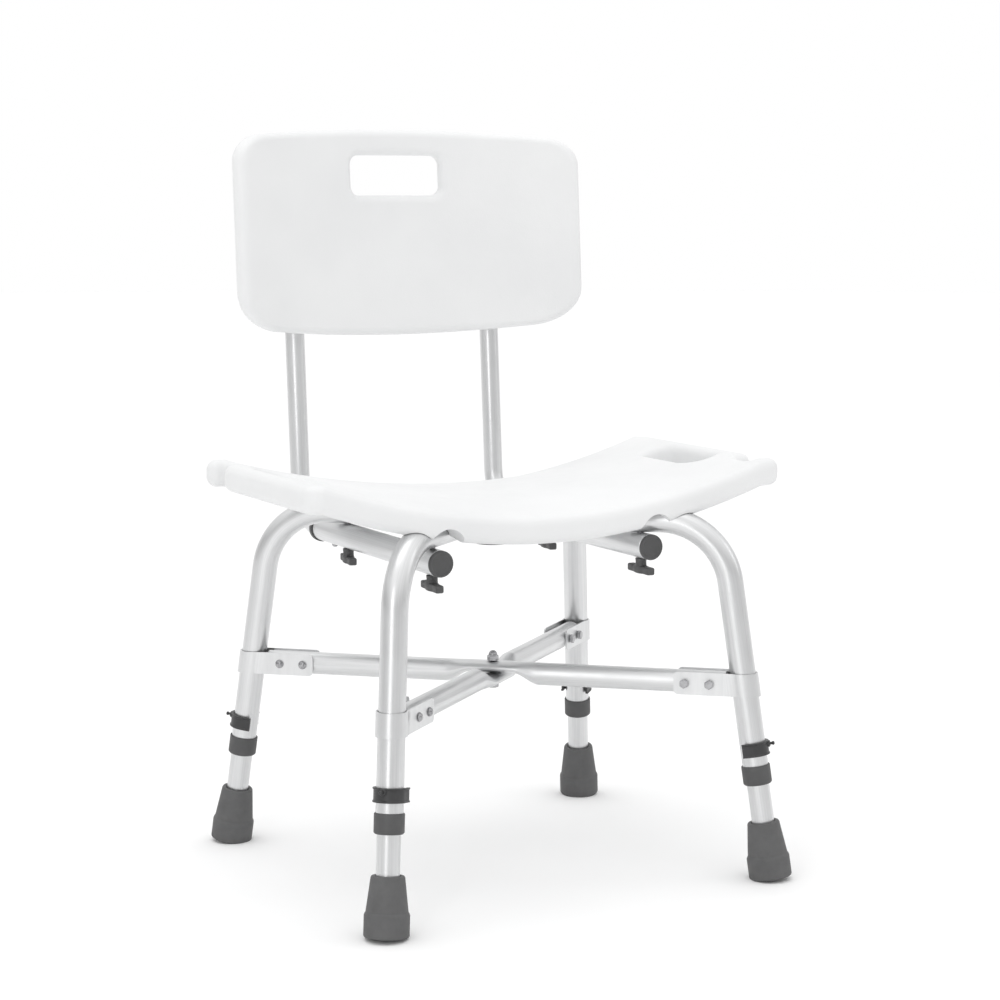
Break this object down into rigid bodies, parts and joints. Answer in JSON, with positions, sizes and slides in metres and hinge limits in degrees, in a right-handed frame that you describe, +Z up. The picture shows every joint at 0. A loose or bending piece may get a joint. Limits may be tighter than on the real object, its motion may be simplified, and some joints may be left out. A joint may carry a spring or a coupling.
{
  "type": "shower chair",
  "caption": "Shower chair with a saddle-shaped moulded seat, a curved removable back with a grip hole, crossed aluminium hoop legs with telescoping feet, and braces clamped between the legs.",
  "frame": {"origin": "on the floor, midway between the chair's left and right ends and between its frontmost and rearmost points", "axes": "+Z up; the sitter faces -Y; left and right are as seen from the front, with left towards -X"},
  "size_m": [0.511, 0.4656, 0.7368],
  "materials": {
    "white_plastic": "white blow-moulded polyethylene with a fine grain and a soft sheen",
    "grey_plastic": "dark grey moulded plastic, matt",
    "grey_rubber": "dark grey moulded rubber, matt",
    "satin_aluminium": "satin anodised tube and strip",
    "bright_steel": "bright zinc-plated or stainless fasteners"
  },
  "bodies": {
    "frame": {"brace_centre_bolt": "bright_steel", "brace_centre_nut": "bright_steel", "brace_clamp_back_left": "satin_aluminium", "brace_clamp_back_right": "satin_aluminium", "brace_clamp_front_left": "satin_aluminium", "brace_clamp_front_right": "satin_aluminium", "brace_plug_back_left": "grey_plastic", "brace_plug_back_right": "grey_plastic", "brace_plug_front_left": "grey_plastic", "brace_plug_front_right": "grey_plastic", "clamp_bolt_back_left_inner": "bright_steel", "clamp_bolt_back_left_outer": "bright_steel", "clamp_bolt_back_right_inner": "bright_steel", "clamp_bolt_back_right_outer": "bright_steel", "clamp_bolt_front_left_inner": "bright_steel", "clamp_bolt_front_left_outer": "bright_steel", "clamp_bolt_front_right_inner": "bright_steel", "clamp_bolt_front_right_outer": "bright_steel", "cross_brace_lower": "satin_aluminium", "cross_brace_upper": "satin_aluminium", "hoop_centre_bolt": "bright_steel", "hoop_centre_spacer": "grey_plastic", "leg_collar_back_left": "grey_plastic", "leg_collar_back_right": "grey_plastic", "leg_collar_front_left": "grey_plastic", "leg_collar_front_right": "grey_plastic", "leg_hoop_lower": "satin_aluminium", "leg_hoop_upper": "satin_aluminium", "rail_bush_left": "grey_plastic", "rail_bush_right": "grey_plastic", "rail_cap_left": "grey_plastic", "rail_cap_right": "grey_plastic", "seat": "white_plastic", "seat_rail_left": "satin_aluminium", "seat_rail_right": "satin_aluminium"},
    "backrest": {"back_panel": "white_plastic", "back_post_left": "satin_aluminium", "back_post_right": "satin_aluminium"},
    "snap_button_left": {"snap_button_left": "bright_steel"},
    "snap_button_right": {"snap_button_right": "bright_steel"},
    "leg_front_left": {"leg_extension_front_left": "satin_aluminium", "rubber_tip_front_left": "grey_rubber"},
    "clip_front_left": {"leg_clip_front_left": "grey_plastic"},
    "knob_front_left": {"t_knob_front_left": "grey_plastic", "knob_bolt_front_left": "bright_steel"},
    "leg_front_right": {"leg_extension_front_right": "satin_aluminium", "rubber_tip_front_right": "grey_rubber"},
    "clip_front_right": {"leg_clip_front_right": "grey_plastic"},
    "knob_front_right": {"t_knob_front_right": "grey_plastic", "knob_bolt_front_right": "bright_steel"},
    "leg_back_left": {"leg_extension_back_left": "satin_aluminium", "rubber_tip_back_left": "grey_rubber"},
    "clip_back_left": {"leg_clip_back_left": "grey_plastic"},
    "knob_back_left": {"t_knob_back_left": "grey_plastic", "knob_bolt_back_left": "bright_steel"},
    "leg_back_right": {"leg_extension_back_right": "satin_aluminium", "rubber_tip_back_right": "grey_rubber"},
    "clip_back_right": {"leg_clip_back_right": "grey_plastic"},
    "knob_back_right": {"t_knob_back_right": "grey_plastic", "knob_bolt_back_right": "bright_steel"}
  },
  "joints": [
    {"name": "leg_front_left_slide", "type": "slide", "parent": "frame", "child": "leg_front_left", "axis": [-0.0926, -0.1238, -0.988], "range_m": [0, 0.12]},
    {"name": "clip_front_left_slide", "type": "slide", "parent": "frame", "child": "clip_front_left", "axis": [-0.7591, -0.6334, 0.1505], "range_m": [0, 0.03]},
    {"name": "knob_front_left_turn", "type": "hinge", "parent": "frame", "child": "knob_front_left", "pos_m": [-0.1146, -0.1166, 0.305], "axis": [0, 0, 1], "continuous": true},
    {"name": "leg_front_right_slide", "type": "slide", "parent": "frame", "child": "leg_front_right", "axis": [0.0926, -0.1238, -0.988], "range_m": [0, 0.12]},
    {"name": "clip_front_right_slide", "type": "slide", "parent": "frame", "child": "clip_front_right", "axis": [0.7591, -0.6334, 0.1505], "range_m": [0, 0.03]},
    {"name": "knob_front_right_turn", "type": "hinge", "parent": "frame", "child": "knob_front_right", "pos_m": [0.1146, -0.1166, 0.305], "axis": [0, 0, 1], "continuous": true},
    {"name": "leg_back_left_slide", "type": "slide", "parent": "frame", "child": "leg_back_left", "axis": [-0.0926, 0.1238, -0.988], "range_m": [0, 0.12]},
    {"name": "clip_back_left_slide", "type": "slide", "parent": "frame", "child": "clip_back_left", "axis": [-0.7591, 0.6334, 0.1505], "range_m": [0, 0.03]},
    {"name": "knob_back_left_turn", "type": "hinge", "parent": "frame", "child": "knob_back_left", "pos_m": [-0.1146, 0.07674, 0.305], "axis": [0, 0, 1], "continuous": true},
    {"name": "leg_back_right_slide", "type": "slide", "parent": "frame", "child": "leg_back_right", "axis": [0.0926, 0.1238, -0.988], "range_m": [0, 0.12]},
    {"name": "clip_back_right_slide", "type": "slide", "parent": "frame", "child": "clip_back_right", "axis": [0.7591, 0.6334, 0.1505], "range_m": [0, 0.03]},
    {"name": "knob_back_right_turn", "type": "hinge", "parent": "frame", "child": "knob_back_right", "pos_m": [0.1146, 0.07674, 0.305], "axis": [0, 0, 1], "continuous": true},
    {"name": "backrest_slide", "type": "slide", "parent": "frame", "child": "backrest", "axis": [0, 1, 0], "range_m": [0, 0.3]},
    {"name": "snap_button_left_press", "type": "slide", "parent": "backrest", "child": "snap_button_left", "axis": [0, 0, 1], "range_m": [0, 0.005], "stiffness_N_per_m": 600, "springref_m": -0.003},
    {"name": "snap_button_right_press", "type": "slide", "parent": "backrest", "child": "snap_button_right", "axis": [0, 0, 1], "range_m": [0, 0.005], "stiffness_N_per_m": 600, "springref_m": -0.003}
  ]
}
